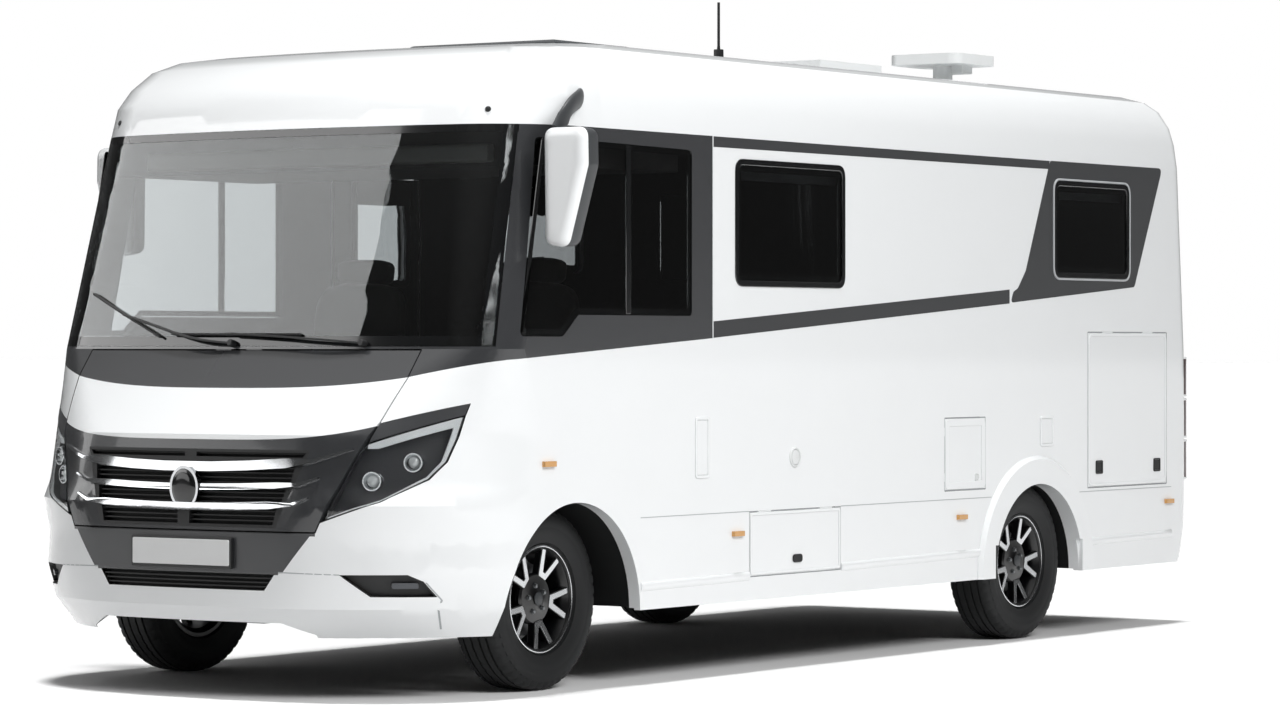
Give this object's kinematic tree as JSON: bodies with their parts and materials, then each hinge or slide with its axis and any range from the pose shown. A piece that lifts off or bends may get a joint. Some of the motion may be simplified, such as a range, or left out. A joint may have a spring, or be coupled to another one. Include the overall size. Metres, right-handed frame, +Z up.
{
  "type": "integrated motorhome",
  "caption": "White integrated motorhome on four wheels with steering, opening bonnet, entrance door, garage doors, service flaps and roof hatch.",
  "frame": {"origin": "on the ground at the centre of the overall length and width", "axes": "forward is -Y, the vehicle's left is +X, up is +Z"},
  "size_m": [2.8608, 6.5214, 2.8999],
  "materials": {
    "white": "gloss white gelcoat",
    "graphite": "satin graphite paint",
    "glazing": "tinted acrylic",
    "screen": "laminated glass",
    "black": "grained black plastic",
    "gloss_black": "gloss black",
    "bright": "polished",
    "lamp": "clear and red lenses",
    "headlamp": "lamp unit under a clear cover",
    "steel": "black chassis paint",
    "galv": "galvanised",
    "iron": "cast",
    "floor": "sealed sandwich board",
    "fabric": "woven",
    "alloy": "diamond turned black alloy",
    "tyre": "rubber",
    "grey": "light grey"
  },
  "bodies": {
    "coach": {"front_mask": "white", "front_bumper": "white", "plate_panel": "graphite", "headlights": "headlamp", "cab_frame": "graphite", "windscreen": "screen", "front_cap": "white", "roof_panel": "white", "side_wall_left": "white", "side_wall_right": "white", "rear_wall": "white", "rear_bumper": "white", "skirts": "white", "windows": "glazing", "arch_flares": "white", "lamps": "lamp", "mirrors": "white", "mirror_arms": "black", "wipers": "black", "roof_gear": "grey", "chassis_frame": "galv", "engine_block": "iron", "front_suspension": "steel", "rear_axle": "steel", "floor_panel": "floor", "cab_floor": "steel", "tanks": "black", "exhaust": "galv", "dashboard": "black", "seats": "fabric", "drop_bed": "grey"},
    "bonnet": {"bonnet": "white", "grille": "gloss_black", "grille_bars": "bright"},
    "entrance_door": {"entrance_door": "white", "door_window": "glazing"},
    "garage_door_left": {"garage_door_left": "white"},
    "garage_door_right": {"garage_door_right": "white"},
    "cassette_flap": {"cassette_flap": "white"},
    "locker_flap": {"locker_flap": "white"},
    "roof_hatch": {"roof_hatch": "glazing"},
    "knuckle_left": {"knuckle_left": "iron"},
    "knuckle_right": {"knuckle_right": "iron"},
    "steering_wheel": {"steering_wheel": "black"},
    "wheel_front_left": {"wheel_front_left": "alloy", "tyre_front_left": "tyre"},
    "wheel_front_right": {"wheel_front_right": "alloy", "tyre_front_right": "tyre"},
    "wheel_rear_left": {"wheel_rear_left": "alloy", "tyre_rear_left": "tyre"},
    "wheel_rear_right": {"wheel_rear_right": "alloy", "tyre_rear_right": "tyre"}
  },
  "joints": [
    {"name": "bonnet_hinge", "type": "hinge", "parent": "coach", "child": "bonnet", "pos_m": [0, -2.893, 1.387], "axis": [-1, 0, 0], "range_deg": [0, 60]},
    {"name": "entrance_door_hinge", "type": "hinge", "parent": "coach", "child": "entrance_door", "pos_m": [-1.17, -0.853, 1.4], "axis": [0, 0, 1], "range_deg": [0, 100]},
    {"name": "garage_door_left_hinge", "type": "hinge", "parent": "coach", "child": "garage_door_left", "pos_m": [1.17, 2.561, 1.468], "axis": [0, -1, 0], "range_deg": [0, 95]},
    {"name": "garage_door_right_hinge", "type": "hinge", "parent": "coach", "child": "garage_door_right", "pos_m": [-1.17, 2.561, 1.468], "axis": [0, 1, 0], "range_deg": [0, 95]},
    {"name": "cassette_flap_hinge", "type": "hinge", "parent": "coach", "child": "cassette_flap", "pos_m": [1.17, 0.767, 0.9], "axis": [0, 0, -1], "range_deg": [0, 110]},
    {"name": "locker_flap_hinge", "type": "hinge", "parent": "coach", "child": "locker_flap", "pos_m": [1.17, -0.5175, 0.689], "axis": [0, -1, 0], "range_deg": [0, 85]},
    {"name": "roof_hatch_hinge", "type": "hinge", "parent": "coach", "child": "roof_hatch", "pos_m": [0, -0.643, 2.6963], "axis": [-1, 0, 0], "range_deg": [0, 60]},
    {"name": "steering_left", "type": "hinge", "parent": "coach", "child": "knuckle_left", "pos_m": [0.72, -2.17, 0.372], "axis": [0, 0, 1], "range_deg": [-35, 35]},
    {"name": "steering_right", "type": "hinge", "parent": "coach", "child": "knuckle_right", "pos_m": [-0.72, -2.17, 0.372], "axis": [0, 0, 1], "range_deg": [-35, 35]},
    {"name": "steering_wheel_turn", "type": "hinge", "parent": "coach", "child": "steering_wheel", "pos_m": [0.45, -2.19, 1.266], "axis": [0, 0.7507, 0.6606], "range_deg": [-540, 540]},
    {"name": "wheel_front_left_spin", "type": "hinge", "parent": "knuckle_left", "child": "wheel_front_left", "pos_m": [0.905, -2.17, 0.372], "axis": [1, 0, 0], "continuous": true},
    {"name": "wheel_front_right_spin", "type": "hinge", "parent": "knuckle_right", "child": "wheel_front_right", "pos_m": [-0.905, -2.17, 0.372], "axis": [1, 0, 0], "continuous": true},
    {"name": "wheel_rear_left_spin", "type": "hinge", "parent": "coach", "child": "wheel_rear_left", "pos_m": [0.995, 1.63, 0.372], "axis": [1, 0, 0], "continuous": true},
    {"name": "wheel_rear_right_spin", "type": "hinge", "parent": "coach", "child": "wheel_rear_right", "pos_m": [-0.995, 1.63, 0.372], "axis": [1, 0, 0], "continuous": true}
  ],
  "couplings": [
    {"joint": "steering_right", "follows": "steering_left", "ratio": 1},
    {"joint": "steering_wheel_turn", "follows": "steering_left", "ratio": 15}
  ]
}
